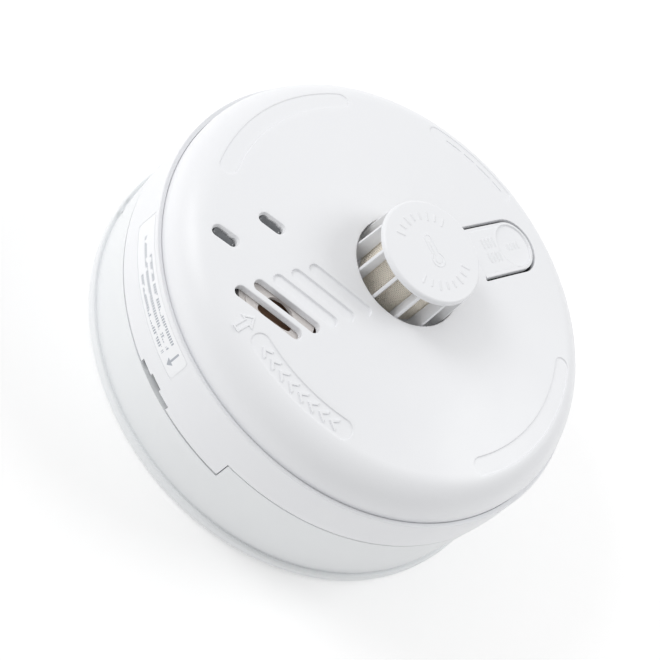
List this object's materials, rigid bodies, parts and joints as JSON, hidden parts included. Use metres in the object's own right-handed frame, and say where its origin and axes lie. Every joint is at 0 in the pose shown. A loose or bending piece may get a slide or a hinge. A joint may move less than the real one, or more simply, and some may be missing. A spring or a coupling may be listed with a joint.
{
  "type": "mains heat alarm",
  "caption": "Round white ceiling heat alarm: domed head with a ribbed heat-sensor cage, sounder slots, indicator windows and test button, on a slide-off mounting plate.",
  "frame": {"origin": "centre of the mounting plate's back face, which lies on the ceiling in use and on the surface here", "axes": "+Z along the axis towards the front, +X towards the test button and the way the head slides off"},
  "size_m": [0.141, 0.141, 0.0675],
  "materials": {
    "white_abs": "moulded, fine satin texture",
    "white_plate": "moulded, satin",
    "label": "matt polyester label",
    "grey_plastic": "moulded",
    "terminal_plastic": "moulded nylon",
    "black_plastic": "moulded",
    "brass": "stamped",
    "steel": "zinc plated",
    "screen_mesh": "fine woven mesh",
    "board": "solder resist on glass-epoxy",
    "sounder_ceramic": "dark plated disc",
    "window": "smoked polycarbonate",
    "green_lamp": "diffused epoxy",
    "red_lamp": "diffused epoxy",
    "battery_skin": "printed steel can",
    "capacitor_yellow": "potted box",
    "varistor_blue": "epoxy dip",
    "resistor_tan": "lacquer",
    "red_wire": "PVC insulation",
    "black_wire": "PVC insulation"
  },
  "bodies": {
    "mounting_plate": {"mounting_plate": "white_plate", "terminal_block": "terminal_plastic", "terminal_clamp_1": "brass", "terminal_clamp_2": "brass", "terminal_clamp_3": "brass", "terminal_screw_1": "steel", "terminal_screw_2": "steel", "terminal_screw_3": "steel", "contact_fork_1": "brass", "contact_fork_2": "brass", "contact_fork_3": "brass", "terminal_block_screw_1": "steel", "terminal_block_screw_2": "steel", "terminal_cover": "grey_plastic"},
    "release_catch": {"release_catch": "grey_plastic"},
    "alarm_head": {"rear_housing": "white_abs", "side_label": "label", "battery_door": "white_abs", "head_connector": "terminal_plastic", "connector_blade_1": "brass", "connector_blade_2": "brass", "connector_blade_3": "brass", "housing_screw_1": "steel", "housing_screw_2": "steel", "housing_screw_3": "steel", "housing_screw_4": "steel", "front_cover": "white_abs", "green_window": "window", "red_window": "window", "sensor_cage": "white_abs", "insect_screen": "screen_mesh", "thermistor": "sounder_ceramic", "thermistor_holder": "grey_plastic", "switch_body": "black_plastic", "circuit_board": "board", "board_screw_1": "steel", "board_screw_2": "steel", "mains_capacitor": "capacitor_yellow", "smoothing_capacitor_1": "black_plastic", "smoothing_capacitor_2": "black_plastic", "driver_coil": "black_plastic", "fuse": "steel", "surge_varistor": "varistor_blue", "controller_chip": "black_plastic", "bridge_rectifier": "black_plastic", "resistor_1": "resistor_tan", "resistor_2": "resistor_tan", "green_led": "green_lamp", "red_led": "red_lamp", "sounder_horn": "white_abs", "sounder_disc": "sounder_ceramic", "sounder_spring_1": "steel", "sounder_spring_2": "steel", "backup_battery": "battery_skin", "battery_snap": "black_plastic", "battery_lead_red": "red_wire", "battery_lead_black": "black_wire"},
    "test_button": {"test_button": "white_abs"},
    "switch_plunger": {"switch_plunger": "black_plastic"}
  },
  "joints": [
    {"name": "head_slide", "type": "slide", "parent": "mounting_plate", "child": "alarm_head", "axis": [1, 0, 0], "range_m": [0, 0.025]},
    {"name": "release_catch_flex", "type": "hinge", "parent": "mounting_plate", "child": "release_catch", "pos_m": [-0.06515, -0.0015, 0.003], "axis": [0, 1, 0], "range_deg": [0, 6], "stiffness_Nm_per_rad": 0.5},
    {"name": "test_button_press", "type": "hinge", "parent": "alarm_head", "child": "test_button", "pos_m": [0.0278, 0, 0.0532], "axis": [0, 1, 0], "range_deg": [0, 2.5]},
    {"name": "switch_plunger_press", "type": "slide", "parent": "alarm_head", "child": "switch_plunger", "axis": [0, 0, -1], "range_m": [0, 0.00053], "stiffness_N_per_m": 1500}
  ],
  "couplings": [
    {"joint": "test_button_press", "follows": "switch_plunger_press", "rad_per_m": 82}
  ]
}
